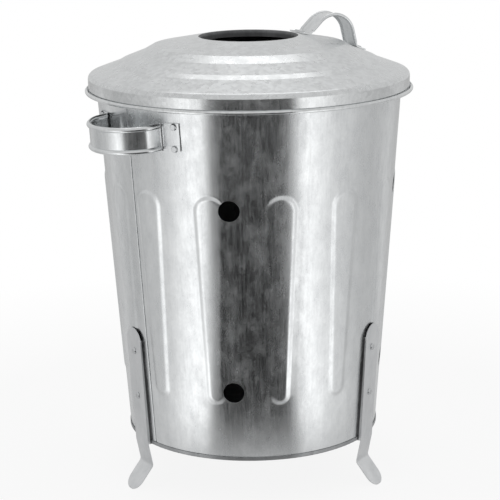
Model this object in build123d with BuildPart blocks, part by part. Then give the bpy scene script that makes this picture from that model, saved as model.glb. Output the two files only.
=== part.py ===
from build123d import *
import math
import os

# A galvanised garden incinerator bin: a tapered round body of two fluted half sheets with lock
# seams, a seamed base, three strap legs, two side handles and a lift-off stepped lid with a flue
# hole. Millimetres, +Z up. The origin is on the floor under the middle of the bin, and azimuths
# are in degrees from the front (-Y) round towards +X.

# Sheets and clearances
sheet = 0.8
seat_gap = 0.1
loose_gap = 0.25
lid_gap = 0.3

# Body wall: outside radii at the bottom edge and at the top of the rim bead
body_height = 514.0
body_base_radius = 179.1
body_rim_radius = 214.9
rim_wire_radius = 1.95

# Lock seams: each half sheet's first edge is hooked under the last edge of the other one
seam_azimuth = -50.0
seam_opening = 1.2
seam_lap = 6.0
seam_bottom = 8.0
seam_top = 500.0

# Pressed flutes, tapered, raised outward
flutes_per_half = 7
flute_pitch = 26.87
first_flute_turn = 7.7
flute_rise = 2.5
flute_border = 4.2
flute_root = 3.0
flute_bottom_end = 82.0
flute_top_end = 376.0
flute_bottom_radius = 13.4
flute_top_radius = 22.0

# Vent holes, given as turns from the half sheet's first edge
vent_radius = 14.25
vent_turns = (42.0, 132.0)
vent_heights = (100.0, 356.0)

# Base: countersunk panel and double-seamed edge
base_panel_rise = 7.0
base_seam_height = 5.4
seam_slack = 0.4
base_bend = 0.9

# Legs: flanged strap on the wall, neck leaning in below the body, and splayed round foot
leg_azimuths = {"left": -59.0, "right": 60.5, "rear": 180.0}
leg_sheet = 1.2
leg_standoff = 4.5
leg_lean = 0.73
leg_top = 170.0
leg_top_radius = 20.0
leg_flange_top = 155.0
leg_half_width = 18.2
leg_neck_top = 1.0
leg_knee_drop = 33.5
leg_neck_lean = 7.5
leg_splay = 43.4
leg_foot_length = 43.5
leg_bend = 7.0
toe_radius = 17.2
sole_depth = 0.5
leg_rivet_heights = (69.0, 135.5)

# Rivets
rivet_radius = 2.5
rivet_head_radius = 4.8
rivet_head_height = 2.2
rivet_head_slope = 25.0
rivet_head_edge = 0.8
rivet_tail_radius = 4.0
rivet_tail_height = 1.6

# Rolled-edge handle strap, the same stock for the side handles and the lid handle
strap_sheet = 1.2
strap_width = 37.0
bead_wall = 1.0
hem_height = 7.5
hem_thickness = 2.0

# Side handles
side_handle_azimuths = {"left": -48.4, "right": 131.6}
side_handle_drop = 62.0
side_bead_radius = 3.5
bow_half_width = 57.0
bow_shoulder = 8.0
bow_reach = 53.0
bow_corner_radius = 26.0
bow_bend = 4.5
plate_end_turn = 23.0
plate_rivet_turn = 20.8

# Lid: the sheet's middle line, as insets from the brim and rises above the brim's corner
collar_radius = 66.6
collar_depth = 10.0
collar_bend = 4.4
crown_rise = 50.7
dome_insets = (90.6, 75.4, 47.3, 38.7)
dome_rises = (38.5, 30.0, 19.1, 14.2)
dome_bend = 3.0
brim_clearance = 4.7
brim_bend = 7.0
skirt_depth = 22.0
edge_wire_radius = 1.75

# Lid handle
lid_handle_azimuth = 116.0
lid_handle_insets = (135.6, 60.6)
lid_bead_radius = 2.4
lid_handle_rise = 36.5
lid_handle_arch_radius = 31.0
lid_handle_plate = 14.0
lid_handle_bend = 3.0
lid_rivet_inset = 5.6
lid_rivet_side = 6.0

# Worked out from the sizes above
full_turn = 360.0
half_turn = full_turn / 2
rolled_turn = 0.75 * full_turn
taper = (body_rim_radius - body_base_radius) / body_height
taper_angle = math.degrees(math.atan(taper))
rim_curl_radius = rim_wire_radius + loose_gap + sheet / 2
rim_bead_radius = rim_curl_radius + sheet / 2
rim_height = body_height - rim_bead_radius
layer_pitch = sheet + seat_gap
wall_foot = sheet + seat_gap
wall_depth = flute_root + flute_rise
side_handle_height = body_height - side_handle_drop
plate_rivet_rise = strap_width / 2 - hem_height / 2


def direction(degrees):
    """Unit vector in a profile's own plane, counter-clockwise from its x axis."""
    return Vector(math.cos(math.radians(degrees)), math.sin(math.radians(degrees)))


# Leg's side outline on the wall plane: x is outward and y is up the wall
leg_line = leg_standoff + leg_sheet / 2
leg_depth = leg_standoff + leg_sheet
leg_slope = math.tan(math.radians(leg_lean))
neck_turn = -90.0 - leg_neck_lean
foot_turn = -90.0 + leg_splay
neck_point = Vector(leg_line, -leg_neck_top)
neck_start = neck_point + direction(90.0 + leg_lean) * leg_half_width / 2
neck_length = (leg_knee_drop - leg_neck_top) / math.cos(math.radians(leg_neck_lean))
knee_point = neck_point + direction(neck_turn) * neck_length
toe_point = knee_point + direction(foot_turn) * leg_foot_length
toe_heel = toe_point + direction(foot_turn - 90) * leg_sheet / 2
lowest = toe_heel.dot(direction(90 + taper_angle))
lip_height = -lowest - sole_depth


def outside_radius(height):
    """Outside radius of the plain wall at a height above the body's bottom edge."""
    return body_base_radius + taper * height


def outward(azimuth):
    """Unit vector pointing out of the bin at an azimuth."""
    return Vector(math.sin(math.radians(azimuth)), -math.cos(math.radians(azimuth)), 0)


def across(azimuth):
    """Unit vector along the wall at an azimuth, towards larger azimuths."""
    return Vector(math.cos(math.radians(azimuth)), math.sin(math.radians(azimuth)), 0)


def meridian(azimuth):
    """Upright plane through the axis: x is the radius and y the height above the body's edge."""
    return Plane(origin=(0, 0, lip_height), x_dir=outward(azimuth), z_dir=-across(azimuth))


def wall_plane(azimuth, height):
    """Plane touching the plain wall: x runs along the wall, y up it and z outward."""
    origin = outward(azimuth) * outside_radius(height) + Vector(0, 0, lip_height + height)
    normal = outward(azimuth) - Vector(0, 0, taper)
    return Plane(origin=origin, x_dir=across(azimuth), z_dir=normal)


def plan_plane(azimuth, height):
    """Plane square to the wall: x runs along the wall and y outward."""
    wall = wall_plane(azimuth, height)
    return Plane(origin=wall.origin, x_dir=wall.x_dir, z_dir=-wall.y_dir)


def turn_of(length):
    """Angle, in degrees, that a length along the wall covers at mid height."""
    return math.degrees(length / outside_radius(body_height / 2))


def cone_solid(offset, bottom, top):
    """Solid cone frustum of the plain wall's outside, moved out by an offset."""
    with BuildPart() as cone:
        with BuildSketch(meridian(0)):
            Polygon(
                (0, bottom),
                (outside_radius(bottom) + offset, bottom),
                (outside_radius(top) + offset, top),
                (0, top),
                align=None,
            )
        revolve(axis=Axis.Z)
    return cone.part


flute_spread = flute_root * flute_border / flute_rise
flute_slope = math.degrees(math.atan2(flute_border, flute_rise))
flute_low_centre = flute_bottom_end + flute_bottom_radius
flute_high_centre = flute_top_end - flute_top_radius
flute_middle = (flute_low_centre + flute_high_centre) / 2
flute_half_span = (flute_high_centre - flute_low_centre) / 2
flute_azimuths = [seam_azimuth + first_flute_turn + n * flute_pitch for n in range(flutes_per_half)]
flute_azimuths += [azimuth + half_turn for azimuth in flute_azimuths]


def flute_pads(azimuths, shift, rise):
    """Tapered raised pads on the wall, moved out by a shift and cut to a rise above the wall."""
    margin = flute_spread + flute_root
    crest = cone_solid(rise, flute_bottom_end - margin, flute_top_end + margin)
    with BuildPart() as pads:
        for azimuth in azimuths:
            with BuildSketch(wall_plane(azimuth, flute_middle).offset(shift - flute_root)):
                with Locations((0, -flute_half_span)):
                    Circle(flute_bottom_radius + flute_spread)
                with Locations((0, flute_half_span)):
                    Circle(flute_top_radius + flute_spread)
                make_hull()
            extrude(amount=flute_root + flute_rise + sheet, taper=flute_slope)
        add(crest, mode=Mode.INTERSECT)
    return pads.part


def wall_strip(azimuth, turn, depth, thickness):
    """One layer of a lock seam: a narrow upright strip at a depth inside the wall's outside."""
    with BuildPart() as strip:
        with BuildSketch(meridian(azimuth)):
            Polygon(
                (outside_radius(seam_bottom) - depth, seam_bottom),
                (outside_radius(seam_bottom) - depth - thickness, seam_bottom),
                (outside_radius(seam_top) - depth - thickness, seam_top),
                (outside_radius(seam_top) - depth, seam_top),
                align=None,
            )
        revolve(axis=Axis.Z, revolution_arc=turn)
    return strip.part


def turn_between(azimuth, other):
    """Signed angle from one azimuth to another, within half a turn."""
    return (azimuth - other + half_turn) % full_turn - half_turn


def flutes_near(azimuth):
    """Azimuths of the flutes that reach under a piece at an azimuth."""
    return [flute for flute in flute_azimuths if abs(turn_between(azimuth, flute)) < flute_pitch / 2]


def wall_rise(azimuth, height):
    """How far the wall stands out at a point: a flute's rise on its flat, or nothing."""
    flat = turn_of(flute_bottom_radius - flute_border)
    beside = [flute for flute in flute_azimuths if abs(turn_between(azimuth, flute)) < flat]
    return flute_rise if beside and flute_bottom_end < height < flute_top_end else 0.0


def side_rivet_planes(azimuth):
    """Wall planes of the four rivets of a side handle."""
    turns = (azimuth - plate_rivet_turn, azimuth + plate_rivet_turn)
    heights = (side_handle_height - plate_rivet_rise, side_handle_height + plate_rivet_rise)
    return [wall_plane(turn, height) for turn in turns for height in heights]


def rivet(plane, grip_top, grip_bottom):
    """Solid rivet along a plane's normal: its head seats at one height and its tail at another."""
    with BuildPart() as solid:
        with BuildSketch(plane.offset(grip_bottom)):
            Circle(rivet_radius)
        extrude(amount=grip_top - grip_bottom)
        with BuildSketch(plane.offset(grip_top)):
            Circle(rivet_head_radius)
        extrude(amount=rivet_head_height, taper=rivet_head_slope)
        crown = solid.edges().sort_by(lambda edge: plane.to_local_coords(edge.center()).Z)[-1]
        fillet(crown, rivet_head_edge)
        with BuildSketch(plane.offset(grip_bottom)):
            Circle(rivet_tail_radius)
        extrude(amount=-rivet_tail_height)
    return solid.part


def rolled_strap(plane, bow, plates, bead_radius):
    """Bent strap: both long edges are rolled into beads on its bow and hemmed on its plates."""
    bead_offset = strap_width / 2 - bead_radius
    rails = [
        plane.offset(side * bead_offset).from_local_coords(Wire(bow.edges())) for side in (-1, 1)
    ]
    with BuildPart() as strap:
        with BuildSketch(plane):
            with BuildLine():
                add(bow.edges())
            trace(line_width=strap_sheet)
        extrude(amount=bead_offset - bead_radius + bead_wall / 2, both=True)
        with BuildSketch(plane):
            with BuildLine():
                add(plates.edges())
            trace(line_width=strap_sheet)
        extrude(amount=strap_width / 2, both=True)
        for side in (-1, 1):
            with BuildSketch(plane.offset(side * (strap_width / 2 - hem_height))):
                with BuildLine():
                    add(plates.edges())
                trace(line_width=hem_thickness)
            extrude(amount=side * hem_height)
        for radius, mode in ((bead_radius, Mode.ADD), (bead_radius - bead_wall, Mode.SUBTRACT)):
            for rail in rails:
                with BuildSketch(Plane(origin=rail @ 0, z_dir=rail % 0)):
                    Circle(radius)
                sweep(path=rail, mode=mode)
    return strap.part


# Base plate: recessed panel, and an edge clinched round the foot of the wall
chuck_x = outside_radius(0) - sheet - seat_gap - sheet / 2
ring_x = outside_radius(base_seam_height) + seam_slack + sheet / 2
base_ring_outside = ring_x + sheet / 2

with BuildPart() as base_plate:
    with BuildSketch(meridian(0)):
        with BuildLine():
            FilletPolyline(
                (0, base_panel_rise),
                (chuck_x, base_panel_rise),
                (chuck_x, sheet / 2),
                (ring_x, sheet / 2),
                (ring_x, base_seam_height),
                radius=base_bend,
            )
        trace(line_width=sheet)
    revolve(axis=Axis.Z)
base_plate.part.label = "base_plate"
export_step(base_plate.part, "parts/base_plate.step")

# One half of the body wall, with its rolled rim, flutes, vents and seam edges
seam_edge = turn_of(seam_opening / 2)
seam_fold = turn_of(sheet)
seam_play = turn_of(seat_gap)
seam_reach = turn_of(seam_lap)
seam_finish = seam_azimuth + half_turn
hook_start = seam_azimuth - seam_edge - 2 * seam_fold - 2 * seam_play - seam_reach
first_flutes = flute_azimuths[:flutes_per_half]
flute_pans = flute_pads(first_flutes, 0, flute_rise) - cone_solid(-sheet / 2, 0, body_height)
flute_hollows = flute_pads(first_flutes, -sheet, flute_rise - sheet)

# The first edge steps under the other half's last edge and hooks back into its fold
step_turn = seam_azimuth + seam_edge + seam_fold - hook_start
first_edge = [
    wall_strip(seam_azimuth + seam_edge, seam_fold, sheet / 2, 3 * layer_pitch + sheet / 2),
    wall_strip(hook_start, step_turn, 3 * layer_pitch, sheet),
    wall_strip(hook_start, seam_fold, layer_pitch, 2 * layer_pitch + sheet),
    wall_strip(hook_start, seam_fold + seam_play + seam_reach, layer_pitch, sheet),
]
fold_start = seam_finish - seam_edge - seam_fold
last_edge = [
    wall_strip(fold_start, seam_fold, sheet / 2, 2 * layer_pitch + sheet / 2),
    wall_strip(fold_start - seam_reach, seam_fold + seam_reach, 2 * layer_pitch, sheet),
]

with BuildPart() as half_wall:
    with BuildSketch(meridian(seam_azimuth + seam_edge)):
        with BuildLine():
            wall_line = Line(
                (outside_radius(wall_foot) - sheet / 2, wall_foot),
                (outside_radius(rim_height) - sheet / 2, rim_height),
            )
            JernArc(wall_line @ 1, wall_line % 1, rim_curl_radius, -rolled_turn)
        trace(line_width=sheet)
    revolve(axis=Axis.Z, revolution_arc=half_turn - 2 * seam_edge)
    add(flute_pans)
    add(flute_hollows, mode=Mode.SUBTRACT)
    add(first_edge + last_edge)
    for turn in vent_turns:
        for height in vent_heights:
            with BuildSketch(wall_plane(seam_azimuth + turn, height)):
                Circle(vent_radius)
            extrude(amount=wall_depth, both=True, mode=Mode.SUBTRACT)

# Both half sheets are the same pressing, each drilled for its own leg and handle rivets
leg_rivets = {
    name: [wall_plane(azimuth, height) for height in leg_rivet_heights]
    for name, azimuth in leg_azimuths.items()
}
handle_rivets = {name: side_rivet_planes(turn) for name, turn in side_handle_azimuths.items()}
drilled = sum(leg_rivets.values(), []) + sum(handle_rivets.values(), [])

for name, turn in (("front_shell", 0), ("rear_shell", half_turn)):
    with BuildPart() as shell:
        add(half_wall.part, rotation=(0, 0, turn))
        with BuildSketch(*drilled):
            Circle(rivet_radius + seat_gap)
        extrude(amount=wall_depth, both=True, mode=Mode.SUBTRACT)
    shell.part.label = name
    export_step(shell.part, f"parts/{name}.step")

rim_wire_centre = outside_radius(rim_height) - sheet / 2 + rim_curl_radius * math.cos(
    math.radians(taper_angle)
)
rim_wire_height = rim_height - rim_curl_radius * math.sin(math.radians(taper_angle))
with BuildPart() as rim_wire:
    with BuildSketch(meridian(0)):
        with Locations((rim_wire_centre, rim_wire_height)):
            Circle(rim_wire_radius)
    revolve(axis=Axis.Z)
rim_wire.part.label = "rim_wire"
export_step(rim_wire.part, "parts/rim_wire.step")

# Legs and their rivets: the plate leans on the wall at its top, and its flanges reach back to it
for name, azimuth in leg_azimuths.items():
    wall = wall_plane(azimuth, 0)
    flank = Plane(origin=wall.origin, x_dir=wall.z_dir, z_dir=wall.x_dir * -1)
    back = flank.from_local_coords(Vector(leg_standoff, 0, 0))
    facing = flank.from_local_coords(direction(leg_lean)) - flank.origin
    plate = Plane(origin=back, x_dir=wall.x_dir, z_dir=facing)
    wall_clearance = cone_solid(seat_gap, -leg_bend, leg_top)
    flute_clearance = flute_pads(flutes_near(azimuth), seat_gap, flute_rise + seat_gap)
    with BuildPart() as leg:
        with BuildSketch(plate.offset(-leg_depth)):
            with Locations((0, leg_top - leg_top_radius)):
                Circle(leg_top_radius)
            with Locations((0, leg_half_width / 2)):
                Rectangle(2 * leg_half_width, leg_half_width)
            make_hull()
        extrude(amount=leg_depth + leg_sheet)
        with BuildSketch(plate):
            with Locations((0, leg_top)):
                Rectangle(2 * (leg_top_radius - leg_sheet), leg_sheet)
            with Locations((0, 0)):
                Rectangle(2 * (leg_half_width - leg_sheet), leg_sheet)
            make_hull()
        extrude(amount=-leg_depth, mode=Mode.SUBTRACT)
        with BuildSketch(plate):
            with Locations((0, leg_top)):
                Rectangle(3 * leg_top_radius, 2 * (leg_top - leg_flange_top))
        extrude(amount=-leg_depth, mode=Mode.SUBTRACT)
        add(wall_clearance, mode=Mode.SUBTRACT)
        add(flute_clearance, mode=Mode.SUBTRACT)
        with BuildSketch(Plane.XY.offset(lip_height)):
            Circle(base_ring_outside + seat_gap)
        extrude(amount=base_seam_height + seat_gap, mode=Mode.SUBTRACT)

        with BuildSketch(flank):
            with BuildLine():
                FilletPolyline(neck_start, neck_point, knee_point, toe_point, radius=leg_bend)
            trace(line_width=leg_sheet)
        extrude(amount=leg_half_width, both=True)
        toe_edges = leg.edges().filter_by(lambda edge: abs(edge.length - leg_sheet) < seat_gap)
        fillet(toe_edges.sort_by(Axis.Z)[:2], toe_radius)
        split(bisect_by=Plane.XY, keep=Keep.TOP)

        with BuildSketch(*leg_rivets[name]):
            Circle(rivet_radius + seat_gap)
        extrude(amount=2 * leg_depth, mode=Mode.SUBTRACT)
    leg.part.label = f"leg_{name}"
    export_step(leg.part, f"parts/leg_{name}.step")

    rivets = []
    for plane, height in zip(leg_rivets[name], leg_rivet_heights):
        face = leg_depth - leg_slope * height + 2 * seat_gap
        rivets.append(rivet(plane, face, wall_rise(azimuth, height) - sheet - seat_gap))
    with BuildPart() as fixings:
        add(rivets)
    fixings.part.label = f"leg_rivets_{name}"
    export_step(fixings.part, f"parts/leg_rivets_{name}.step")

# Side handles: a three-arc bow between two plates bent to the wall
handle_wall_radius = outside_radius(side_handle_height)
plate_radius = handle_wall_radius + loose_gap + hem_thickness / 2
axis_point = Vector(0, -handle_wall_radius)
bend_x = bow_half_width + bow_bend
bend_y = math.sqrt((plate_radius + bow_bend) ** 2 - bend_x**2) - handle_wall_radius
bend_centre = Vector(bend_x, bend_y)
heel_point = axis_point + (bend_centre - axis_point).normalized() * plate_radius
bow_top_radius = (
    bow_half_width**2
    + (bow_reach - bow_shoulder) ** 2
    - 2 * bow_half_width * bow_corner_radius
) / (2 * (bow_reach - bow_shoulder - bow_corner_radius))
top_centre = Vector(0, bow_reach - bow_top_radius)
corner_centre = Vector(bow_half_width - bow_corner_radius, bow_shoulder)
corner_end = top_centre + (corner_centre - top_centre).normalized() * bow_top_radius

with BuildLine() as side_bow:
    Line((bow_half_width, bend_y), (bow_half_width, bow_shoulder))
    corner_middle = corner_centre + (
        (corner_end - corner_centre).normalized() + Vector(1, 0)
    ).normalized() * bow_corner_radius
    ThreePointArc((bow_half_width, bow_shoulder), corner_middle, corner_end)
    mirror(about=Plane.YZ)
    ThreePointArc(corner_end, (0, bow_reach), (-corner_end.X, corner_end.Y))

with BuildLine() as side_plates:
    plate_end = axis_point + direction(90 - plate_end_turn) * plate_radius
    heel_turn = 90 - math.degrees(math.atan2(heel_point.X, heel_point.Y + handle_wall_radius))
    plate_middle = axis_point + direction((90 - plate_end_turn + heel_turn) / 2) * plate_radius
    ThreePointArc(plate_end, plate_middle, heel_point)
    bend_middle = bend_centre + (
        (heel_point - bend_centre).normalized() + Vector(-1, 0)
    ).normalized() * bow_bend
    ThreePointArc(heel_point, bend_middle, (bow_half_width, bend_y))
    mirror(about=Plane.YZ)

for name, azimuth in side_handle_azimuths.items():
    level = plan_plane(azimuth, side_handle_height)
    strap = rolled_strap(level, side_bow, side_plates, side_bead_radius)
    with BuildPart() as handle:
        add(strap)
        with BuildSketch(*handle_rivets[name]):
            Circle(rivet_radius + seat_gap)
        extrude(amount=2 * hem_thickness, mode=Mode.SUBTRACT)
    handle.part.label = f"side_handle_{name}"
    export_step(handle.part, f"parts/side_handle_{name}.step")

    rivets = [
        rivet(plane, hem_thickness + 2 * loose_gap, -sheet - seat_gap)
        for plane in handle_rivets[name]
    ]
    with BuildPart() as fixings:
        add(rivets)
    fixings.part.label = f"handle_rivets_{name}"
    export_step(fixings.part, f"parts/handle_rivets_{name}.step")

# Lid: its last slope rests over the body's rim bead, and its skirt clears the bead's outside
brim_radius = rim_wire_centre + rim_bead_radius + brim_clearance
dome_radii = [brim_radius - inset for inset in dome_insets]
lid_handle_feet = [brim_radius - inset for inset in lid_handle_insets]
lid_slope = math.atan(dome_rises[-1] / (brim_radius - dome_radii[-1]))
seat_height = rim_wire_height + (rim_bead_radius + lid_gap + sheet / 2) / math.cos(lid_slope)
brim_height = seat_height - (brim_radius - rim_wire_centre) * math.tan(lid_slope)
skirt_foot = brim_height - skirt_depth
edge_curl_radius = edge_wire_radius + loose_gap + sheet / 2
lid_line = [(collar_radius, brim_height + crown_rise)]
lid_line += [(radius, brim_height + rise) for radius, rise in zip(dome_radii, dome_rises)]
lid_line += [(brim_radius, brim_height)]

with BuildPart() as lid_sheet:
    with BuildSketch(meridian(0)):
        with BuildLine():
            FilletPolyline(
                (collar_radius, brim_height + crown_rise - collar_depth),
                *lid_line,
                (brim_radius, skirt_foot),
                radius=[collar_bend] + [dome_bend] * len(dome_radii) + [brim_bend],
            )
            JernArc((brim_radius, skirt_foot), (0, -1), edge_curl_radius, rolled_turn)
        trace(line_width=sheet)
    revolve(axis=Axis.Z)


def lid_point(slope, radius, lift):
    """Point of the lid handle's profile: a radius on one of the dome's slopes, and a lift."""
    inner, outer = lid_line[slope], lid_line[slope + 1]
    fall = (inner[1] - outer[1]) / (outer[0] - inner[0])
    return Vector(radius, inner[1] - fall * (radius - inner[0]) + lift * math.hypot(1, fall))


def lid_plane(slope, radius):
    """Plane touching the lid's outside under the lid handle: x runs round the lid, y up it."""
    foot = meridian(lid_handle_azimuth).from_local_coords(lid_point(slope, radius, sheet / 2))
    inner, outer = lid_line[slope], lid_line[slope + 1]
    rise = Vector(0, 0, outer[0] - inner[0])
    normal = outward(lid_handle_azimuth) * (inner[1] - outer[1]) + rise
    return Plane(origin=foot, x_dir=across(lid_handle_azimuth), z_dir=normal)


# Lid handle: an arch over the first step of the dome, standing square to the line of its feet
foot_slopes = (0, 2)
strap_lift = sheet / 2 + seat_gap + hem_thickness / 2
inner_foot, outer_foot = (
    lid_point(slope, radius, strap_lift) for slope, radius in zip(foot_slopes, lid_handle_feet)
)
half_span = (outer_foot - inner_foot).length / 2
arch_offset = lid_handle_rise - lid_handle_arch_radius
leg_turn = math.atan2(arch_offset, half_span) + math.asin(
    lid_handle_arch_radius / math.hypot(arch_offset, half_span)
)
chord = (outer_foot - inner_foot).normalized()
arch_up = Vector(-chord.Y, chord.X)
arch_apex = inner_foot + chord * half_span + arch_up * half_span * math.tan(leg_turn)
inner_heel = inner_foot + (arch_apex - inner_foot).normalized() * 2 * lid_handle_bend
outer_heel = outer_foot + (arch_apex - outer_foot).normalized() * 2 * lid_handle_bend
inner_end = lid_point(foot_slopes[0], lid_handle_feet[0] - lid_handle_plate, strap_lift)
outer_end = lid_point(foot_slopes[1], lid_handle_feet[1] + lid_handle_plate, strap_lift)

with BuildLine() as lid_bow:
    FilletPolyline(inner_heel, arch_apex, outer_heel, radius=lid_handle_arch_radius)

with BuildLine() as lid_plates:
    FilletPolyline(inner_end, inner_foot, inner_heel, radius=lid_handle_bend)
    FilletPolyline(outer_end, outer_foot, outer_heel, radius=lid_handle_bend)

lid_rivet_radii = (
    lid_handle_feet[0] - lid_handle_plate + lid_rivet_inset,
    lid_handle_feet[1] + lid_handle_plate - lid_rivet_inset,
)
lid_rivet_planes = []
for slope, radius in zip(foot_slopes, lid_rivet_radii):
    plane = lid_plane(slope, radius)
    for side in (-lid_rivet_side, lid_rivet_side):
        spot = plane.from_local_coords(Vector(side, 0, 0))
        lid_rivet_planes.append(Plane(origin=spot, x_dir=plane.x_dir, z_dir=plane.z_dir))

with BuildPart() as lid_shell:
    add(lid_sheet.part)
    with BuildSketch(*lid_rivet_planes):
        Circle(rivet_radius + seat_gap)
    extrude(amount=wall_depth, both=True, mode=Mode.SUBTRACT)
lid_shell.part.label = "lid_shell"
export_step(lid_shell.part, "parts/lid_shell.step")

with BuildPart() as lid_edge_wire:
    with BuildSketch(meridian(0)):
        with Locations((brim_radius + edge_curl_radius, skirt_foot)):
            Circle(edge_wire_radius)
    revolve(axis=Axis.Z)
lid_edge_wire.part.label = "lid_edge_wire"
export_step(lid_edge_wire.part, "parts/lid_edge_wire.step")

upright = meridian(lid_handle_azimuth)
lid_strap = rolled_strap(upright, lid_bow, lid_plates, lid_bead_radius)
with BuildPart() as lid_handle:
    add(lid_strap)
    with BuildSketch(*lid_rivet_planes):
        Circle(rivet_radius + seat_gap)
    extrude(amount=2 * hem_thickness, both=True, mode=Mode.SUBTRACT)
lid_handle.part.label = "lid_handle"
export_step(lid_handle.part, "parts/lid_handle.step")

lid_grip = strap_sheet / 2 + hem_thickness / 2 + 2 * seat_gap
lid_drop = (lid_rivet_side + rivet_tail_radius) ** 2 / (2 * lid_rivet_radii[0])
rivets = [rivet(plane, lid_grip, -sheet - lid_drop - seat_gap) for plane in lid_rivet_planes]
with BuildPart() as lid_handle_rivets:
    add(rivets)
lid_handle_rivets.part.label = "lid_handle_rivets"
export_step(lid_handle_rivets.part, "parts/lid_handle_rivets.step")
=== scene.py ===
"""The looks of a galvanised garden incinerator bin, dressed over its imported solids.

Everything is in metres in the bin's own frame: +Z is up, the front faces -Y and the origin is on
the floor under the middle of the bin. Azimuths are in degrees from the front round towards +X.
"""

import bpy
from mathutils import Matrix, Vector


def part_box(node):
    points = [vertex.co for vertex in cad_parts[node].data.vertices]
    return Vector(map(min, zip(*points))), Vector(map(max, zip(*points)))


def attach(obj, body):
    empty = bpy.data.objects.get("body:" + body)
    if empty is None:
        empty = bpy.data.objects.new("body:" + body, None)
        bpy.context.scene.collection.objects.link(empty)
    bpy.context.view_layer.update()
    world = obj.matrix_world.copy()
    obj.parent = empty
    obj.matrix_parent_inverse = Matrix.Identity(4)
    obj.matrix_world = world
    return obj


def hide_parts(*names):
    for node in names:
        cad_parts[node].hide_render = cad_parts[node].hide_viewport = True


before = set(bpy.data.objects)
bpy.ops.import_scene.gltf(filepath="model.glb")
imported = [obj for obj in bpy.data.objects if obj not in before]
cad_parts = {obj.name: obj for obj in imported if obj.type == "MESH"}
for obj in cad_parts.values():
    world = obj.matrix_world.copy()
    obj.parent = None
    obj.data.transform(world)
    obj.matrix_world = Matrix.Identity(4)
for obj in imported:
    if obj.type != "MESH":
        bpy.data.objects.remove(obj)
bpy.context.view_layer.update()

import logging
import math
from dataclasses import dataclass
from enum import Enum
from typing import Sequence, Union

import bpy
import numpy as np
from mathutils import Matrix, Vector

log = logging.getLogger("bin")
MM = 0.001
Point2 = tuple[float, float]
Colour = tuple[float, float, float]

# The body's cone. Its foot is the base's underside, and the radii are of its outside.
WALL_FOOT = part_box("base_plate")[0].z
WALL_FOOT_RADIUS = 179.1 * MM
WALL_RIM_RADIUS = 214.9 * MM
WALL_HEIGHT = 514.0 * MM
WALL_TAPER = (WALL_RIM_RADIUS - WALL_FOOT_RADIUS) / WALL_HEIGHT

# From the lid's brim down to the underside of its rolled edge.
LID_EDGE_DROP = 24.8 * MM

# Places of the colour sockets of a Mix node, whose names are not unique.
MIX_FIRST, MIX_SECOND, MIX_RESULT = 6, 7, 2


class Body(Enum):
    """The two bodies that pieces ride on."""

    BIN = "bin"
    LID = "lid"


# Shader maths


class Wire:
    """A shader socket that can stand in arithmetic."""

    def __init__(self, bench: "Bench", socket: bpy.types.NodeSocket) -> None:
        """Keeps the socket and the bench that adds nodes behind it.

        Args:
            bench: the material's node bench.
            socket: the output socket that this wire carries.
        """
        self.bench = bench
        self.socket = socket

    def _sum(self, operation: str, first: "Value", second: "Value") -> "Wire":
        """Adds a Math node.

        Args:
            operation: the Math node's operation.
            first: its first value.
            second: its second value.

        Returns:
            The node's result.
        """
        return self.bench.node("ShaderNodeMath", {"operation": operation}, {0: first, 1: second})

    def __add__(self, other: "Value") -> "Wire":
        """The sum of both."""
        return self._sum("ADD", self, other)

    __radd__ = __add__

    def __sub__(self, other: "Value") -> "Wire":
        """This less the other."""
        return self._sum("SUBTRACT", self, other)

    def __rsub__(self, other: "Value") -> "Wire":
        """The other less this."""
        return self._sum("SUBTRACT", other, self)

    def __mul__(self, other: "Value") -> "Wire":
        """The product of both."""
        return self._sum("MULTIPLY", self, other)

    __rmul__ = __mul__


Value = Union[Wire, float, Sequence[float]]


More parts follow.
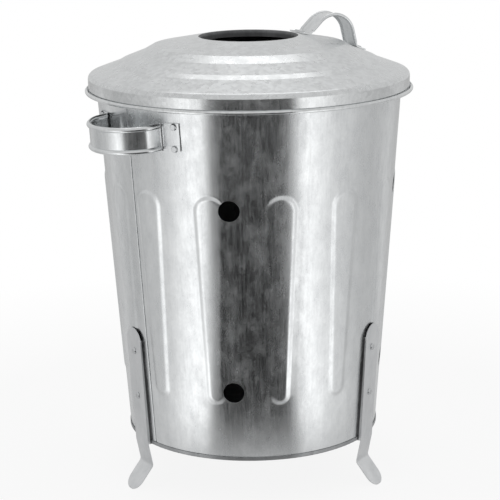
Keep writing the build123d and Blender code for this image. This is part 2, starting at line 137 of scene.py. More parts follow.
class Bench:
    """Adds the nodes of one material or world."""

    def __init__(self, tree: bpy.types.NodeTree) -> None:
        """Clears the tree.

        Args:
            tree: the node tree to fill.
        """
        self.tree = tree
        self.tree.nodes.clear()

    def node(
        self,
        kind: str,
        settings: dict | None = None,
        sockets: dict | None = None,
        output: str | int = 0,
    ) -> Wire:
        """Adds one node.

        Args:
            kind: the node's type.
            settings: attributes set first; "stops" fills a colour ramp.
            sockets: values or wires by input name or place.
            output: the output that the result carries.

        Returns:
            A wire from the chosen output.
        """
        made = self.tree.nodes.new(kind)
        for key, value in (settings or {}).items():
            if key == "stops":
                self._fill_ramp(made.color_ramp, value)
            else:
                setattr(made, key, value)
        for key, value in (sockets or {}).items():
            if isinstance(value, Wire):
                self.tree.links.new(value.socket, made.inputs[key])
            else:
                made.inputs[key].default_value = value
        return Wire(self, made.outputs[output] if made.outputs else None)

    @staticmethod
    def _fill_ramp(ramp: bpy.types.ColorRamp, stops: Sequence[Point2]) -> None:
        """Sets a ramp's grey stops.

        Args:
            ramp: the ramp.
            stops: pairs of position and grey level.
        """
        while len(ramp.elements) < len(stops):
            ramp.elements.new(1.0)
        for element, (position, grey) in zip(ramp.elements, stops):
            element.position = position
            element.color = (grey, grey, grey, 1.0)

    def noise(self, place: Wire, scale: float, detail: float = 3.0, roughness: float = 0.5) -> Wire:
        """Fractal noise between 0 and 1.

        Args:
            place: the coordinates.
            scale: patches in a metre.
            detail: octaves.
            roughness: weight of the small octaves.

        Returns:
            The noise.
        """
        sockets = {"Vector": place, "Scale": scale, "Detail": detail, "Roughness": roughness}
        return self.node("ShaderNodeTexNoise", None, sockets)

    def height_of(self, place: Wire) -> Wire:
        """The height part of coordinates.

        Args:
            place: the coordinates.

        Returns:
            Their z part.
        """
        return self.node("ShaderNodeSeparateXYZ", None, {0: place}, "Z")

    def stretched(self, place: Wire, stretch: Sequence[float]) -> Wire:
        """Coordinates scaled along each axis, so that a pattern on them is drawn out.

        Args:
            place: the coordinates.
            stretch: scale of each axis.

        Returns:
            The scaled coordinates.
        """
        return self.node("ShaderNodeMapping", None, {"Vector": place, "Scale": stretch})

    def between(
        self, wire: Value, low: float, high: float, new_low: float, new_high: float
    ) -> Wire:
        """Maps one range onto another and clamps it.

        Args:
            wire: the value.
            low: where the old range starts.
            high: where the old range ends.
            new_low: the result at low.
            new_high: the result at high.

        Returns:
            The mapped value.
        """
        sockets = {
            "Value": wire,
            "From Min": low,
            "From Max": high,
            "To Min": new_low,
            "To Max": new_high,
        }
        return self.node("ShaderNodeMapRange", {"clamp": True}, sockets)

    def blend(self, share: Value, first: Value, second: Value, mode: str = "MIX") -> Wire:
        """Mixes two colours.

        Args:
            share: how much of the second.
            first: the colour at 0.
            second: the colour at 1.
            mode: how the second colour acts on the first.

        Returns:
            The mixed colour.
        """
        settings = {"data_type": "RGBA", "blend_type": mode}
        sockets = {"Factor": share, MIX_FIRST: first, MIX_SECOND: second}
        return self.node("ShaderNodeMix", settings, sockets, MIX_RESULT)


# Finishes


@dataclass(frozen=True)
class Pattern:
    """A noise pattern on the sheet, and the part of its range that shows.

    Attributes:
        drawn: scale of the height; below 1 it draws the pattern out upwards.
        scale: patches in a metre.
        detail: octaves.
        roughness: weight of the small octaves.
        low: the noise level that counts as none.
        high: the noise level that counts as full.
    """

    drawn: float
    scale: float
    detail: float
    roughness: float
    low: float = 0.0
    high: float = 1.0

    def noise(self, bench: Bench, place: Wire) -> Wire:
        """The bare pattern.

        Args:
            bench: the material's bench.
            place: object coordinates.

        Returns:
            Noise between 0 and 1.
        """
        drawn = bench.stretched(place, (1.0, 1.0, self.drawn))
        return bench.noise(drawn, self.scale, self.detail, self.roughness)

    def share(self, bench: Bench, place: Wire, full: float = 1.0) -> Wire:
        """How much of the pattern shows at each place.

        Args:
            bench: the material's bench.
            place: object coordinates.
            full: the result where it shows in full.

        Returns:
            A value between 0 and full.
        """
        return bench.between(self.noise(bench, place), self.low, self.high, 0.0, full)


STREAKS = Pattern(drawn=0.05, scale=190.0, detail=6.0, roughness=0.70, low=0.22, high=0.78)
BANDS = Pattern(drawn=0.16, scale=28.0, detail=4.0, roughness=0.60, low=0.34, high=0.70)
STAINS = Pattern(drawn=0.60, scale=60.0, detail=7.0, roughness=0.68, low=0.34, high=0.74)
LINES = Pattern(drawn=0.02, scale=300.0, detail=4.0, roughness=0.65, low=0.42, high=0.66)
CLOUDS = Pattern(drawn=0.70, scale=42.0, detail=9.0, roughness=0.74, low=0.47, high=0.66)
WAVES = Pattern(drawn=0.30, scale=14.0, detail=2.0, roughness=0.40)
CRYSTALS_PER_METRE = 210.0


@dataclass(frozen=True)
class GalvanisedSteel:
    """Zinc-coated sheet: drawn-out rolling streaks, soft stains, and a fine crystal spangle.

    Attributes:
        name: the material's name.
        colour: the clean zinc.
        stain: the zinc where it is worn.
        roughness: the clean zinc's roughness.
        streak: what the streaks and bands add to the roughness.
        blotch: what the stains add to it.
        spangle: how far the crystals differ in roughness and brightness.
        ripple: height of the bumps, in metres.
        line_haze: how dull the drawn lines are, as a share of not being metal.
        cloud_haze: how dull the clouds are, as the same share.
        painted_shade_width: width of the dark shade painted beside the body wall, in the gap there;
            0 for a piece without one.
        painted_shade_colour: the dark grey painted into that gap as shade.
        gap_fade: how far the painted shade fades at the gap's edge.
        foot_fade: how far the painted shade fades under the wall's foot.
        bright_below: height under which the sheet is drawn bright; 0 for none.
        bright_fade: how far that fades.
        bright_roughness: the roughness there.
        spangle_lost: the share of the spangle that is lost there.
        worn_by_stains: how much a stain counts as wear.
        worn_by_bands: how much a band counts as wear.
        wave_height: the waves' share of the bumps.
        streak_height: the streaks' share of the bumps.
        roughness_ends: the least and the greatest roughness.
    """

    name: str
    colour: Colour = (0.80, 0.815, 0.82)
    stain: Colour = (0.62, 0.635, 0.645)
    roughness: float = 0.22
    streak: float = 0.12
    blotch: float = 0.10
    spangle: float = 0.0
    ripple: float = 0.04 * MM
    line_haze: float = 0.09
    cloud_haze: float = 0.18
    painted_shade_width: float = 0.0
    painted_shade_colour: Colour = (0.12, 0.12, 0.123)
    gap_fade: float = 0.4 * MM
    foot_fade: float = 2.0 * MM
    bright_below: float = 0.0
    bright_fade: float = 4.0 * MM
    bright_roughness: float = 0.14
    spangle_lost: float = 0.9
    worn_by_stains: float = 0.6
    worn_by_bands: float = 0.4
    wave_height: float = 6.0
    streak_height: float = 0.25
    roughness_ends: tuple[float, float] = (0.05, 0.95)

    def build(self) -> bpy.types.Material:
        """Makes the material.

        Returns:
            The material.
        """
        material = bpy.data.materials.new(self.name)
        material.use_nodes = True
        bench = Bench(material.node_tree)
        place = bench.node("ShaderNodeTexCoord", None, None, "Object")
        streaks = STREAKS.noise(bench, place)
        streak_share = bench.between(streaks, STREAKS.low, STREAKS.high, -1.0, 1.0)
        band_share = BANDS.share(bench, place)
        stain_share = STAINS.share(bench, place)
        crystals = bench.node(
            "ShaderNodeTexVoronoi",
            {"feature": "F1"},
            {"Vector": place, "Scale": CRYSTALS_PER_METRE},
            "Color",
        )
        facet = bench.node("ShaderNodeSeparateColor", None, {"Color": crystals})
        rough = streak_share * self.streak * 0.5 + self.roughness
        rough = rough + band_share * self.streak + stain_share * self.blotch
        grain = (facet - 0.5) * self.spangle
        if self.bright_below > 0.0:
            fade_end = self.bright_below + self.bright_fade
            height = bench.height_of(place)
            bright = bench.between(height, self.bright_below, fade_end, 1.0, 0.0)
            rough = rough + bright * (self.bright_roughness - self.roughness)
            grain = grain * (1.0 - bright * self.spangle_lost)
        least, most = self.roughness_ends
        rough = bench.between(rough + grain, least, most, least, most)
        haze = LINES.share(bench, place, self.line_haze)
        haze = haze + CLOUDS.share(bench, place, self.cloud_haze)
        worn = stain_share * self.worn_by_stains + band_share * self.worn_by_bands
        colour = bench.blend(worn, (*self.colour, 1.0), (*self.stain, 1.0))
        speck = bench.between(facet, 0.0, 1.0, 1.0 - self.spangle, 1.0)
        grey = bench.node(
            "ShaderNodeCombineColor", None, {"Red": speck, "Green": speck, "Blue": speck}
        )
        colour = bench.blend(1.0, colour, grey, "MULTIPLY")
        # Painted shade: the colour turns dark grey in the gap beside the body wall.
        if self.painted_shade_width > 0.0:
            colour = bench.blend(self.painted_shade_share(bench, place), colour, (*self.painted_shade_colour, 1.0))
        height = WAVES.noise(bench, place) * self.wave_height + streaks * self.streak_height
        bump = bench.node(
            "ShaderNodeBump", None, {"Height": height, "Strength": 1.0, "Distance": self.ripple}
        )
        steel = bench.node(
            "ShaderNodeBsdfPrincipled",
            None,
            {"Base Color": colour, "Metallic": 1.0 - haze, "Roughness": rough, "Normal": bump},
        )
        bench.node("ShaderNodeOutputMaterial", None, {"Surface": steel})
        return material

    def painted_shade_share(self, bench: Bench, place: Wire) -> Wire:
        """Where a piece that stands on the body wall gets painted shade, in the gap beside it.

        Args:
            bench: the material's bench.
            place: object coordinates.

        Returns:
            1 in the gap and 0 outside it.
        """
        flat = bench.stretched(place, (1.0, 1.0, 0.0))
        around = bench.node("ShaderNodeVectorMath", {"operation": "LENGTH"}, {0: flat}, "Value")
        height = bench.height_of(place)
        wall = (height - WALL_FOOT) * WALL_TAPER + WALL_FOOT_RADIUS
        gap_start = self.painted_shade_width - self.gap_fade
        beside = bench.between(around - wall, gap_start, self.painted_shade_width, 1.0, 0.0)
        above = bench.between(height, WALL_FOOT - self.foot_fade, WALL_FOOT, 0.0, 1.0)
        return beside * above


class Finish(Enum):
    """The finishes, by the kind of piece that has them."""

    WALL = GalvanisedSteel(
        "bright_galvanised_sheet",
        colour=(0.83, 0.846, 0.852),
        roughness=0.15,
        streak=0.10,
        blotch=0.10,
    )
    LID = GalvanisedSteel(
        "spangled_galvanised_sheet",
        colour=(0.80, 0.815, 0.82),
        stain=(0.72, 0.735, 0.74),
        roughness=0.30,
        streak=0.02,
        blotch=0.06,
        spangle=0.12,
        bright_below=575.0 * MM,
    )
    STRAP = GalvanisedSteel(
        "galvanised_strip",
        colour=(0.80, 0.81, 0.82),
        roughness=0.30,
        streak=0.08,
        blotch=0.10,
        # The strip gets painted shade within 3 mm of the body wall.
        painted_shade_width=3.0 * MM,
    )
    HANDLE = GalvanisedSteel(
        "bright_galvanised_strip",
        colour=(0.80, 0.815, 0.82),
        roughness=0.20,
        streak=0.04,
        blotch=0.06,
    )
    RIVETS = GalvanisedSteel("plated_rivets", colour=(0.58, 0.59, 0.60), roughness=0.13)
    BASE = GalvanisedSteel(
        "clinched_base_sheet",
        colour=(0.44, 0.45, 0.46),
        stain=(0.26, 0.265, 0.27),
        roughness=0.28,
    )
    WIRE = GalvanisedSteel("drawn_wire", colour=(0.62, 0.63, 0.64), roughness=0.35)
    # The inside's finish is painted shade: a dark grey for the unlit inside, which is the same zinc
    # as the outside.
    INSIDE = GalvanisedSteel(
        "inside_sheet_painted_shade",
        colour=(0.22, 0.224, 0.228),
        stain=(0.11, 0.112, 0.115),
        roughness=0.60,
    )


# The first word that a solid's name holds gives its finish; a solid with none is wall.
FINISH_WORDS = (
    ("rivets", Finish.RIVETS),
    ("handle", Finish.HANDLE),
    ("leg_", Finish.STRAP),
    ("lid_shell", Finish.LID),
    ("base_plate", Finish.BASE),
    ("wire", Finish.WIRE),
)


# Forming sheet


def settle(piece: bpy.types.Object, angle: float) -> None:
    """Smooths a finished piece's shading except over its sharp edges.

    Args:
        piece: the finished piece.
        angle: the least bend, in degrees, that stays a sharp edge.
    """
    bpy.ops.object.select_all(action="DESELECT")
    piece.select_set(True)
    bpy.context.view_layer.objects.active = piece
    bpy.ops.object.shade_smooth_by_angle(angle=math.radians(angle))
    piece.select_set(False)


def thicken(piece: bpy.types.Object, thickness: float, inside_first: bool = False) -> None:
    """Gives a formed face its sheet thickness, behind it, and each side its own finish.

    Args:
        piece: the formed face, which has two finishes.
        thickness: the sheet's thickness.
        inside_first: whether the formed face is the sheet's inside, which has the second finish.
    """
    for polygon in piece.data.polygons:
        polygon.material_index = int(inside_first)
    bpy.ops.object.select_all(action="DESELECT")
    piece.select_set(True)
    bpy.context.view_layer.objects.active = piece
    wall = piece.modifiers.new("thickness", "SOLIDIFY")
    wall.thickness = thickness
    wall.offset = -1.0
    wall.use_even_offset = True
    wall.material_offset = -1 if inside_first else 1
    wall.material_offset_rim = -1 if inside_first else 0
    bpy.ops.object.modifier_apply(modifier=wall.name)


def hold_line(line: Sequence[Point2], hold: float) -> list[Point2]:
    """Adds points near the ends of a profile's long runs, so that smooth shading leaves them flat.

    Args:
        line: the profile.
        hold: how far from a run's ends the points are.

    Returns:
        The profile with the added points.
    """
    held = [line[0]]
    for before, after in zip(line, line[1:]):
        first, last = np.array(before), np.array(after)
        length = float(np.linalg.norm(last - first))
        if length > 4 * hold:
            along = (last - first) / length
            held += [tuple(first + along * hold), tuple(last - along * hold)]
        held.append(after)
    return held


def face_beads(piece: bpy.types.Object, centre: Point2, reach: float) -> None:
    """Gives a rolled edge the outside's finish, because the sheet's inside faces out there.

    Args:
        piece: the formed sheet.
        centre: the roll's middle, as radius and height.
        reach: how far from its middle the roll goes.
    """
    for polygon in piece.data.polygons:
        spot = polygon.center
        if math.hypot(math.hypot(spot.x, spot.y) - centre[0], spot.z - centre[1]) < reach:
            polygon.material_index = 0


def fillet_line(points: Sequence[Point2], radii: Sequence[float], steps: int) -> list[Point2]:
    """Rounds the corners of a profile.

    Args:
        points: the profile's corners.
        radii: the bend radius at each inner corner.
        steps: points along each bend.

    Returns:
        The rounded profile.
    """
    line = [np.array(points[0])]
    for before, corner, after, radius in zip(points, points[1:], points[2:], radii):
        here = np.array(corner)
        back = np.array(before) - here
        ahead = np.array(after) - here
        back, ahead = back / np.linalg.norm(back), ahead / np.linalg.norm(ahead)
        half = math.acos(float(np.clip(back @ ahead, -1.0, 1.0))) / 2
        middle = (back + ahead) / np.linalg.norm(back + ahead)
        centre = here + middle * radius / math.sin(half)
        start = here + back * radius / math.tan(half) - centre
        finish = here + ahead * radius / math.tan(half) - centre
        turn = math.pi - 2 * half
        for step in range(steps + 1):
            share = step / steps
            first = math.sin((1 - share) * turn) / math.sin(turn)
            line.append(centre + start * first + finish * math.sin(share * turn) / math.sin(turn))
    line.append(np.array(points[-1]))
    return [tuple(float(part) for part in point) for point in line]


@dataclass
class HalfWalls:
    """The two fluted half sheets of the body: one formed and pierced, the other its turned copy.

    The sheet is a grid whose points are placed by formula, because no operator bends tapered
    flutes into a cone. Heights are above the wall's foot line, and turns are from the seam.
    """

    lip: float

    # The cone
    sheet: float = 0.8 * MM
    base_radius: float = WALL_FOOT_RADIUS
    rim_radius: float = WALL_RIM_RADIUS
    height: float = WALL_HEIGHT
    foot: float = 0.9 * MM
    bead_radius: float = 3.0 * MM
    sharp_bend: float = 35.0

    # The lock seam and the hooked edge under it
    seam_azimuth: float = -50.0
    seam_gap: float = 0.6 * MM
    fold_radius: float = 0.4 * MM
    fold_depth: float = 2.2 * MM
    fold_top: float = 500.0 * MM
    fold_bends: tuple[float, ...] = (90.0, 90.0, 60.0, 30.0)
    strip_depth: float = 2.9 * MM
    strip_half_width: float = 7.0 * MM
    strip_foot: float = 8.0 * MM
    strip_drop: float = 6.0 * MM

    # The flutes
    pitch: float = 26.87
    first_flute: float = 7.7
    flutes: int = 7
    rise: float = 1.5 * MM
    soft_outside: float = 1.5 * MM
    soft_inside: float = 6.5 * MM
    low_centre: float = 95.4 * MM
    low_radius: float = 13.4 * MM
    high_centre: float = 354.0 * MM
    high_radius: float = 22.0 * MM

    # The vents
    vent_radius: float = 14.25 * MM
    vent_turns: tuple[float, float] = (42.0, 132.0)
    vent_heights: tuple[float, float] = (100.0 * MM, 356.0 * MM)
    punch_length: float = 24.0 * MM

    # The grid: it is closer over the flutes' round ends and over their borders
    low_end: tuple[float, float] = (78.0 * MM, 101.0 * MM)
    high_end: tuple[float, float] = (348.0 * MM, 380.0 * MM)
    row_counts: tuple[int, ...] = (8, 20, 16, 26, 10, 3)
    column_counts: tuple[int, ...] = (8, 7, 12, 7)
    bead_points: int = 19
    strip_columns: int = 7
    strip_rows: int = 9
    punch_sides: int = 96

    @property
    def taper(self) -> float:
        """How much the wall's radius grows with height."""
        return (self.rim_radius - self.base_radius) / self.height

    def radius(self, height: np.ndarray) -> np.ndarray:
        """The wall's outside radius at a height.

        Args:
            height: heights above the wall's foot line.

        Returns:
            The radii.
        """
        return self.base_radius + self.taper * height

    def rows(self) -> tuple[np.ndarray, np.ndarray, np.ndarray]:
        """The form's rows, from the wall's foot up and round the rim bead.

        Returns:
            Each row's radius and height on the inside face, and its height for the flutes.
        """
        top = self.height - self.bead_radius
        marks = (self.foot, *self.low_end, *self.high_end, self.fold_top, top)
        spans = [
            np.linspace(low, high, count, endpoint=False)
            for low, high, count in zip(marks, marks[1:], self.row_counts)
        ]
        wall = np.concatenate(spans)
        centre = self.radius(top) - self.sheet + self.bead_radius
        sweep = np.radians(np.linspace(180.0, -90.0, self.bead_points))
        rolled = centre + self.bead_radius * np.cos(sweep)
        radii = np.concatenate((self.radius(wall) - self.sheet, rolled))
        levels = np.concatenate((wall, top + self.bead_radius * np.sin(sweep)))
        return radii, levels, np.concatenate((wall, np.full(len(sweep), top)))

    def flute_half_width(self, height: np.ndarray) -> np.ndarray:
        """Half a flute's width at a height.

        Args:
            height: heights above the wall's foot line.

        Returns:
            The half widths, held beyond the flutes' ends.
        """
        share = np.clip((height - self.low_centre) / (self.high_centre - self.low_centre), 0.0, 1.0)
        return self.low_radius + (self.high_radius - self.low_radius) * share

    def columns(self, heights: np.ndarray) -> np.ndarray:
        """Turns of the form's columns, which keep beside the flutes' borders all the way up.

        Args:
            heights: each row's height.

        Returns:
            Turns in degrees from the seam, one line for each row.
        """
        around = self.radius(heights)
        width = self.flute_half_width(heights)
        outer = np.degrees(np.arcsin((width + self.soft_outside) / around))
        inner = np.degrees(np.arcsin((width - self.soft_inside) / around))
        edge = np.degrees((self.seam_gap + self.sheet + self.fold_radius) / around)
        lines = []
        last = edge
        for flute in range(self.flutes):
            centre = self.first_flute + flute * self.pitch
            marks = (last, centre - outer, centre - inner, centre + inner, centre + outer)
            for low, high, count in zip(marks, marks[1:], self.column_counts):
                lines += [low + (high - low) * step / count for step in range(count)]
            last = centre + outer
        plain = self.column_counts[0]
        lines += [last + (180.0 - edge - last) * step / plain for step in range(plain + 1)]
        return np.array(lines).T

    def relief(self, turns: np.ndarray, heights: np.ndarray) -> np.ndarray:
        """How far the flutes raise the wall.

        Args:
            turns: turns in degrees from the seam.
            heights: heights above the wall's foot line.

        Returns:
            The rise at each place.
        """
        nearest = np.clip(np.round((turns - self.first_flute) / self.pitch), 0, self.flutes - 1)
        aside = np.radians(turns - self.first_flute - nearest * self.pitch)
        across = np.abs(np.sin(aside)) * self.radius(heights)
        span = self.high_centre - self.low_centre
        lean = (self.high_radius - self.low_radius) / span
        up = heights - self.low_centre
        along = np.clip((up + across * lean) / span, 0.0, 1.0)
        radius = self.low_radius + (self.high_radius - self.low_radius) * along
        distance = np.hypot(across, up - along * span) - radius
        share = (self.soft_outside - distance) / (self.soft_outside + self.soft_inside)
        share = np.clip(share, 0.0, 1.0)
        return self.rise * share * share * (3.0 - 2.0 * share)

    def form(self, finishes: Sequence[bpy.types.Material]) -> bpy.types.Object:
        """Forms the front half sheet.

        Args:
            finishes: the outside's and the inside's finish.

        Returns:
            The half sheet, folded at its seam edges and curled at its rim.
        """
        radii, levels, heights = self.rows()
        turns = self.columns(heights)
        base = np.repeat(radii[:, None], turns.shape[1], axis=1)
        base = base + self.relief(turns, heights[:, None])
        folded = (heights < self.fold_top).astype(float)[:, None]
        bends = np.radians(self.fold_bends)
        side = self.seam_gap + self.sheet + self.fold_radius * (1.0 - np.sin(bends))
        depth = self.fold_radius * (1.0 - np.cos(bends))
        depth[0] += self.fold_depth
        edge = np.degrees(side[None, :] / self.radius(heights)[:, None])
        turns = np.concatenate((edge, turns, 180.0 - edge[:, ::-1]), axis=1)
        sunk = radii[:, None] - depth[None, :] * folded
        base = np.concatenate((sunk, base, sunk[:, ::-1]), axis=1)
        across, up = turns.shape[1], turns.shape[0]
        bpy.ops.mesh.primitive_grid_add(x_subdivisions=across - 1, y_subdivisions=up - 1, size=1.0)
        half = bpy.context.active_object
        half.name = "front_half_sheet"
        azimuth = np.radians(turns + self.seam_azimuth)
        spots = np.stack(
            (
                base * np.sin(azimuth),
                -base * np.cos(azimuth),
                np.repeat((levels + self.lip)[:, None], across, axis=1),
            ),
            axis=2,
        )
        half.data.vertices.foreach_set("co", spots.reshape(-1))
        half.data.flip_normals()
        for finish in finishes:
            half.data.materials.append(finish)
        thicken(half, self.sheet, inside_first=True)
        self.pierce(half)
        return half

    def pierce(self, half: bpy.types.Object) -> None:
        """Punches the vent holes.

        Args:
            half: the half sheet.
        """
        bpy.ops.object.select_all(action="DESELECT")
        punches = []
        for turn in self.vent_turns:
            for height in self.vent_heights:
                azimuth = math.radians(self.seam_azimuth + turn)
                radius = float(self.radius(height))
                spot = (radius * math.sin(azimuth), -radius * math.cos(azimuth), self.lip + height)
                tilt = math.pi / 2 + math.atan(self.taper)
                bpy.ops.mesh.primitive_cylinder_add(
                    vertices=self.punch_sides,
                    radius=self.vent_radius,
                    depth=self.punch_length,
                    location=spot,
                    rotation=(tilt, 0.0, azimuth),
                )
                punches.append(bpy.context.active_object)
        for punch in punches:
            punch.select_set(True)
        bpy.ops.object.join()
        cutter = bpy.context.active_object
        bpy.ops.object.transform_apply(location=True, rotation=True, scale=True)
        bpy.ops.object.select_all(action="DESELECT")
        half.select_set(True)
        bpy.context.view_layer.objects.active = half
        cut = half.modifiers.new("vents", "BOOLEAN")
        cut.object = cutter
        cut.solver = "EXACT"
        bpy.ops.object.modifier_apply(modifier=cut.name)
        bpy.data.objects.remove(cutter)

    def seam_strip(self, half: bpy.types.Object) -> None:
        """Backs the seam with the hooked edge that lies under it.

        Args:
            half: the half sheet that the hooked edge belongs to.
        """
        bpy.ops.object.select_all(action="DESELECT")
        bpy.ops.mesh.primitive_grid_add(
            x_subdivisions=self.strip_columns - 1, y_subdivisions=self.strip_rows - 1, size=1.0
        )
        strip = bpy.context.active_object
        aside = np.linspace(-self.strip_half_width, self.strip_half_width, self.strip_columns)
        levels = np.linspace(self.strip_foot, self.fold_top - self.strip_drop, self.strip_rows)
        azimuth = np.radians(self.seam_azimuth) + (aside / self.rim_radius)[None, :]
        radius = (self.radius(levels) - self.strip_depth - self.sheet)[:, None]
        height = np.repeat((levels + self.lip)[:, None], self.strip_columns, axis=1)
        spots = np.stack((radius * np.sin(azimuth), -radius * np.cos(azimuth), height), axis=2)
        strip.data.vertices.foreach_set("co", spots.reshape(-1))
        strip.data.flip_normals()
        for finish in half.data.materials:
            strip.data.materials.append(finish)
        thicken(strip, self.sheet, inside_first=True)
        bpy.ops.object.select_all(action="DESELECT")
        strip.select_set(True)
        half.select_set(True)
        bpy.context.view_layer.objects.active = half
        bpy.ops.object.join()

    def build(self, finishes: Sequence[bpy.types.Material]) -> None:
        """Makes both half sheets.

        Args:
            finishes: the outside's and the inside's finish.
        """
        half = self.form(finishes)
        self.seam_strip(half)
        top = self.height - self.bead_radius
        roll = (self.radius(top) - self.sheet + self.bead_radius, top + self.lip)
        face_beads(half, roll, self.bead_radius + self.sheet)
        settle(half, self.sharp_bend)
        other = half.copy()
        other.data = half.data.copy()
        other.name = "rear_half_sheet"
        bpy.context.scene.collection.objects.link(other)
        other.data.transform(Matrix.Rotation(math.pi, 4, "Z"))
        for piece, node in ((half, "front_shell"), (other, "rear_shell")):
            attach(piece, Body.BIN.value)
            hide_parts(node)
            log.info("%s: %d faces", piece.name, len(piece.data.polygons))


@dataclass
class Lid:
    """The stepped lid, turned from its profile ring by ring, with a rolled edge."""

    brim_height: float
    sides: int = 224
    sheet: float = 0.8 * MM
    brim_radius: float = 224.585 * MM
    collar_radius: float = 66.6 * MM
    collar_depth: float = 10.0 * MM
    collar_bend: float = 4.4 * MM
    crown_rise: float = 50.7 * MM
    insets: tuple[float, ...] = (90.6 * MM, 75.4 * MM, 47.3 * MM, 38.7 * MM)
    rises: tuple[float, ...] = (38.5 * MM, 30.0 * MM, 19.1 * MM, 14.2 * MM)
    step_bend: float = 3.6 * MM
    brim_bend: float = 7.0 * MM
    skirt_depth: float = 22.0 * MM
    curl_radius: float = 2.4 * MM
    hold: float = 0.5 * MM
    bend_steps: int = 8
    curl_points: int = 15
    sharp_bend: float = 40.0

    # The collar has the inside's darker finish as painted shade, from this far under the crown, and
    # this far round it
    shade_below: float = 0.7 * MM
    shade_reach: float = 3.2 * MM

    def profile(self) -> list[Point2]:
        """The sheet's outside face, from the collar's foot out to the rolled edge.

        Returns:
            Points of radius and height.
        """
        half = self.sheet / 2
        corners = [(self.collar_radius, self.crown_rise - self.collar_depth)]
        corners += [(self.collar_radius, self.crown_rise)]
        corners += [
            (self.brim_radius - inset, rise) for inset, rise in zip(self.insets, self.rises)
        ]
        corners += [(self.brim_radius, 0.0), (self.brim_radius, -self.skirt_depth)]
        bends = [self.collar_bend] + [self.step_bend] * len(self.insets) + [self.brim_bend]
        line = fillet_line(corners, bends, self.bend_steps)
        sweep = np.radians(np.linspace(180.0, 450.0, self.curl_points))[1:]
        middle = self.brim_radius + self.curl_radius
        line += [
            (
                middle + self.curl_radius * math.cos(turn),
                self.curl_radius * math.sin(turn) - self.skirt_depth,
            )
            for turn in sweep
        ]
        spots = np.array(hold_line(line, self.hold))
        along = np.gradient(spots, axis=0)
        normal = np.stack((-along[:, 1], along[:, 0]), axis=1)
        spots = spots + half * normal / np.linalg.norm(normal, axis=1)[:, None]
        return [(float(radius), float(height)) for radius, height in spots]

    def turn_rings(self, line: Sequence[Point2]) -> bpy.types.Object:
        """Draws a ring out along the profile.

        Args:
            line: points of radius and height.

        Returns:
            The turned face.
        """
        start = line[0]
        bpy.ops.mesh.primitive_circle_add(
            vertices=self.sides, radius=start[0], location=(0.0, 0.0, self.brim_height + start[1])
        )
        lid = bpy.context.active_object
        bpy.ops.object.transform_apply(location=True, rotation=False, scale=False)
        bpy.ops.object.mode_set(mode="EDIT")
        bpy.ops.mesh.select_all(action="SELECT")
        for before, after in zip(line, line[1:]):
            bpy.ops.mesh.extrude_edges_move(
                TRANSFORM_OT_translate={"value": (0.0, 0.0, after[1] - before[1])}
            )
            grow = after[0] / before[0]
            bpy.ops.transform.resize(
                value=(grow, grow, 1.0), center_override=(0.0, 0.0, self.brim_height + after[1])
            )
        bpy.ops.mesh.select_all(action="DESELECT")
        bpy.ops.object.mode_set(mode="OBJECT")
        return lid

    def build(self, finishes: Sequence[bpy.types.Material]) -> None:
        """Makes the lid.

        Args:
            finishes: the outside's and the inside's finish.
        """
        bpy.ops.object.select_all(action="DESELECT")
        lid = self.turn_rings(self.profile())
        lid.name = "stepped_lid"
        if sum(polygon.normal.z for polygon in lid.data.polygons) < 0:
            lid.data.flip_normals()
        for finish in finishes:
            lid.data.materials.append(finish)
        thicken(lid, self.sheet)
        roll = (self.brim_radius + self.curl_radius, self.brim_height - self.skirt_depth)
        face_beads(lid, roll, self.curl_radius + self.sheet)
        # The collar's faces near the hole get the inside's darker finish as painted shade.
        shade = self.brim_height + self.crown_rise - self.shade_below
        for polygon in lid.data.polygons:
            spot = polygon.center
            if math.hypot(spot.x, spot.y) < self.collar_radius + self.shade_reach and spot.z < shade:
                polygon.material_index = 1
        settle(lid, self.sharp_bend)
        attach(lid, Body.LID.value)
        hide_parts("lid_shell")
        log.info("%s: %d faces", lid.name, len(lid.data.polygons))


# The studio


@dataclass(frozen=True)
class Softbox:
    """A rectangular lamp that faces the middle of the bin."""

    name: str
    azimuth: float
    elevation: float
    distance: float
    width: float
    height: float
    power: float
    aim_height: float = 0.32

    def build(self) -> None:
        """Adds the lamp."""
        lamp = bpy.data.lights.new(self.name, "AREA")
        lamp.shape = "RECTANGLE"
        lamp.size = self.width
        lamp.size_y = self.height
        lamp.energy = self.power
        holder = bpy.data.objects.new(self.name, lamp)
        bpy.context.scene.collection.objects.link(holder)
        turn, tilt = math.radians(self.azimuth), math.radians(self.elevation)
        level = math.cos(tilt)
        away = Vector((math.sin(turn) * level, -math.cos(turn) * level, math.sin(tilt)))
        holder.location = away * self.distance + Vector((0.0, 0.0, self.aim_height))
        holder.rotation_euler = away.to_track_quat("Z", "Y").to_euler()
        holder.visible_camera = False


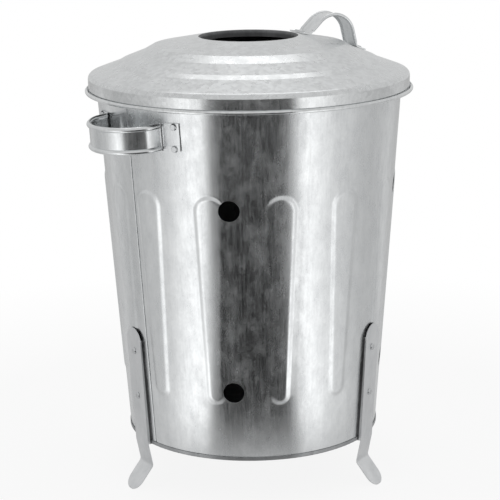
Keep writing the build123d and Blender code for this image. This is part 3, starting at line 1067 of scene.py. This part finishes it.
@dataclass
class Studio:
    """Camera, lamp, white surroundings, and the cloth that gives bright metal its edges.

    The camera's place and turns were fitted to the photograph's circles. The cloth's levels are
    listed: each is a direction, in degrees of azimuth, and the share of the cloth's
    strength that shines there.
    """

    camera_distance: float = 2.3378
    camera_height: float = 0.8395
    pitch: float = 14.074
    roll: float = -0.748
    yaw: float = -0.038
    focal_share: float = 3.3482
    sensor_width: float = 36.0
    surround: float = 0.62
    sky_gain: float = 0.10
    floor_size: float = 14.0
    floor_colour: float = 0.86
    floor_radius: float = 0.55
    floor_fade: float = 1.1
    floor_lift: float = 0.88
    cloth_radius: float = 6.5
    cloth_sides: int = 96
    cloth_lift: float = 1.0 * MM
    cloth_strength: float = 1.42
    cloth_start: float = 0.27
    cloth_full: float = 0.44
    cloth_near: float = 0.40
    cloth_levels: tuple[Point2, ...] = (
        (-180.0, 0.47),
        (-152.0, 0.35),
        (-126.0, 0.48),
        (-106.0, 0.36),
        (-88.0, 0.42),
        (-72.0, 0.45),
        (-60.0, 0.62),
        (-46.0, 1.0),
        (-34.0, 0.85),
        (-28.0, 0.16),
        (-21.0, 0.02),
        (29.0, 0.02),
        (34.0, 0.80),
        (42.0, 1.0),
        (62.0, 0.60),
        (88.0, 0.43),
        (106.0, 0.38),
        (128.0, 0.48),
        (152.0, 0.35),
        (180.0, 0.47),
    )

    def build(self, lip: float) -> None:
        """Sets everything up.

        Args:
            lip: height of the body's bottom edge, which the camera was measured from.
        """
        self.set_view()
        self.add_camera(lip)
        self.add_world()
        self.add_floor()
        self.add_cloth()
        Softbox(
            "top_softbox",
            azimuth=180.0,
            elevation=74.0,
            distance=1.9,
            width=1.5,
            height=0.30,
            power=2.4,
        ).build()
        log.info("studio set up")

    def set_view(self) -> None:
        """Chooses the plain view transform."""
        bpy.context.scene.view_settings.view_transform = "Standard"

    def add_camera(self, lip: float) -> None:
        """Places the camera where the photograph was taken from.

        Args:
            lip: height of the body's bottom edge.
        """
        lens = bpy.data.cameras.new("camera")
        lens.sensor_width = self.sensor_width
        lens.lens = lens.sensor_width * self.focal_share
        holder = bpy.data.objects.new("camera", lens)
        bpy.context.scene.collection.objects.link(holder)
        turn = Matrix.Rotation(math.radians(-self.yaw), 4, "Z")
        tilt = Matrix.Rotation(math.radians(90.0 - self.pitch), 4, "X")
        lean = Matrix.Rotation(math.radians(self.roll), 4, "Z")
        spot = Vector((0.0, -self.camera_distance, lip + self.camera_height))
        holder.matrix_world = Matrix.Translation(spot) @ turn @ tilt @ lean
        bpy.context.scene.camera = holder

    def add_world(self) -> None:
        """Surrounds the bin with soft light, and shows white behind it."""
        world = bpy.data.worlds.new("surroundings")
        world.use_nodes = True
        bpy.context.scene.world = world
        bench = Bench(world.node_tree)
        seen = bench.node("ShaderNodeLightPath", None, None, "Is Camera Ray")
        mirrored = bench.node("ShaderNodeLightPath", None, None, "Is Glossy Ray")
        through = bench.node("ShaderNodeLightPath", None, None, "Is Transmission Ray")
        level = seen * (1.0 - self.surround) + (mirrored + through) * self.sky_gain + self.surround
        background = bench.node(
            "ShaderNodeBackground", None, {"Color": (1.0, 1.0, 1.0, 1.0), "Strength": level}
        )
        bench.node("ShaderNodeOutputWorld", None, {"Surface": background})

    def add_floor(self) -> None:
        """Lays the pale floor, which turns into the white surroundings away from the bin."""
        bpy.ops.mesh.primitive_plane_add(size=self.floor_size, location=(0.0, 0.0, 0.0))
        floor = bpy.context.active_object
        floor.name = "floor"
        material = bpy.data.materials.new("pale_floor")
        material.use_nodes = True
        bench = Bench(material.node_tree)
        place = bench.node("ShaderNodeTexCoord", None, None, "Object")
        reach = bench.node("ShaderNodeVectorMath", {"operation": "LENGTH"}, {0: place}, "Value")
        seen = bench.node("ShaderNodeLightPath", None, None, "Is Camera Ray")
        far = bench.between(reach, self.floor_radius, self.floor_fade, self.floor_lift, 1.0)
        grey = (self.floor_colour,) * 3
        paper = bench.node("ShaderNodeBsdfDiffuse", None, {"Color": (*grey, 1.0)})
        white = bench.node(
            "ShaderNodeEmission", None, {"Color": (1.0, 1.0, 1.0, 1.0), "Strength": 1.0}
        )
        mixed = bench.node("ShaderNodeMixShader", None, {0: far * seen, 1: paper, 2: white})
        bench.node("ShaderNodeOutputMaterial", None, {"Surface": mixed})
        floor.data.materials.append(material)

    def add_cloth(self) -> None:
        """Lays the reflector cloth round the bin, which only its reflections see.

        It is dark before the bin, bright on both sides of that, and grey elsewhere, so that the
        round wall carries one dark band between two bright ones.
        """
        bpy.ops.mesh.primitive_circle_add(
            vertices=self.cloth_sides,
            radius=self.cloth_radius,
            fill_type="NGON",
            location=(0.0, 0.0, self.cloth_lift),
        )
        cloth = bpy.context.active_object
        cloth.name = "reflector_cloth"
        bpy.ops.object.transform_apply(location=True, rotation=False, scale=False)
        material = bpy.data.materials.new("reflector_cloth")
        material.use_nodes = True
        bench = Bench(material.node_tree)
        place = bench.node("ShaderNodeTexCoord", None, None, "Object")
        aside = bench.node("ShaderNodeSeparateXYZ", None, {0: place}, "X")
        ahead = bench.node("ShaderNodeSeparateXYZ", None, {0: place}, "Y")
        turn = bench.node("ShaderNodeMath", {"operation": "ARCTAN2"}, {0: aside, 1: ahead * -1.0})
        reach = bench.node("ShaderNodeVectorMath", {"operation": "LENGTH"}, {0: place}, "Value")
        outer = bench.between(reach, self.cloth_start, self.cloth_full, 0.0, 1.0)
        share = turn * (0.5 / math.pi) + 0.5
        stops = [(azimuth / 360.0 + 0.5, level) for azimuth, level in self.cloth_levels]
        level = bench.node("ShaderNodeValToRGB", {"stops": stops}, {"Fac": share})
        near = (self.cloth_near,) * 3
        level = bench.blend(outer, (*near, 1.0), level)
        glow = bench.node(
            "ShaderNodeEmission", None, {"Color": level, "Strength": self.cloth_strength}
        )
        bench.node("ShaderNodeOutputMaterial", None, {"Surface": glow})
        cloth.data.materials.append(material)
        cloth.visible_camera = False
        cloth.visible_diffuse = False
        cloth.visible_shadow = False


def finish_of(name: str) -> Finish:
    """Finds a solid's finish from its name.

    Args:
        name: the node.

    Returns:
        The finish.
    """
    return next((finish for word, finish in FINISH_WORDS if word in name), Finish.WALL)


def dress_node(name: str, material: bpy.types.Material) -> None:
    """Gives a solid of the frame its finish.

    Args:
        name: the node.
        material: the finish.
    """
    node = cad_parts[name]
    node.data.materials.clear()
    node.data.materials.append(material)
    log.info("%s: %s", name, material.name)


def main() -> None:
    """Builds the bin's looks piece by piece."""
    logging.basicConfig(level=logging.INFO, format="%(message)s")
    bpy.ops.object.select_all(action="DESELECT")
    Studio().build(WALL_FOOT)
    finishes = {finish: finish.value.build() for finish in Finish}
    inside = finishes[Finish.INSIDE]
    HalfWalls(WALL_FOOT).build((finishes[Finish.WALL], inside))
    Lid(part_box("lid_shell")[0].z + LID_EDGE_DROP).build((finishes[Finish.LID], inside))
    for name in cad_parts:
        dress_node(name, finishes[finish_of(name)])


if __name__ == "__main__":
    main()
